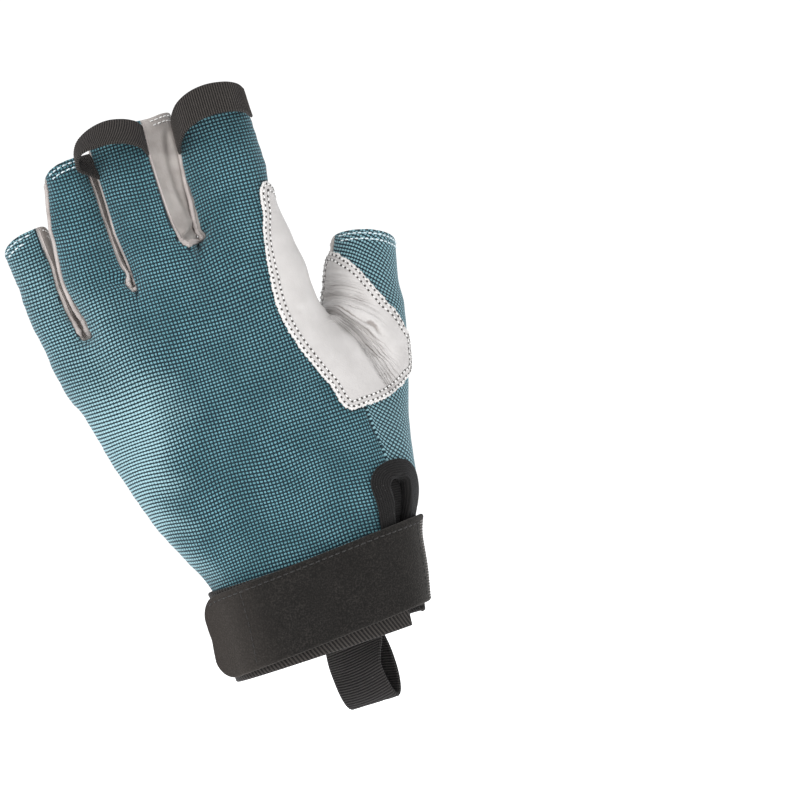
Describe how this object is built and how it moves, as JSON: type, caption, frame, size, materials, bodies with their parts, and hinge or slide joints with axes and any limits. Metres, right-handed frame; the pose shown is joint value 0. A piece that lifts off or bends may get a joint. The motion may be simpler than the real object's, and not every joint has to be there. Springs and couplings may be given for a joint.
{
  "type": "climbing glove",
  "caption": "Fingerless climbing glove for the left hand, with a woven back, leather palm, reinforced thumb crotch, wrist strap and pull loops.",
  "frame": {"origin": "middle of the wrist opening, level with the elastic cuff's lower edge", "axes": "+Z from the wrist to the fingertips, -Y out of the back of the hand, +X towards the thumb"},
  "size_m": [0.1255, 0.0583, 0.2123],
  "materials": {
    "blue_fabric": "woven, matte",
    "palm_leather": "fine grain, satin",
    "patch_leather": "smooth grain, satin",
    "strap_fabric": "brushed, matte",
    "elastic": "ribbed elastic, matte",
    "webbing": "ribbed webbing, slight sheen",
    "tape": "ribbed tape, matte"
  },
  "bodies": {
    "root": {"back_panel": "blue_fabric", "thumb_panel": "blue_fabric", "palm_panel": "palm_leather", "crotch_patch": "patch_leather", "side_strip_little_ring": "palm_leather", "side_strip_ring_middle": "palm_leather", "side_strip_middle_index": "palm_leather", "cuff_base": "tape", "elastic_cuff": "elastic", "notch_binding": "tape", "wrist_strap": "strap_fabric", "wrist_loop": "webbing", "pull_loop_middle": "webbing", "pull_loop_index": "webbing"}
  },
  "joints": []
}
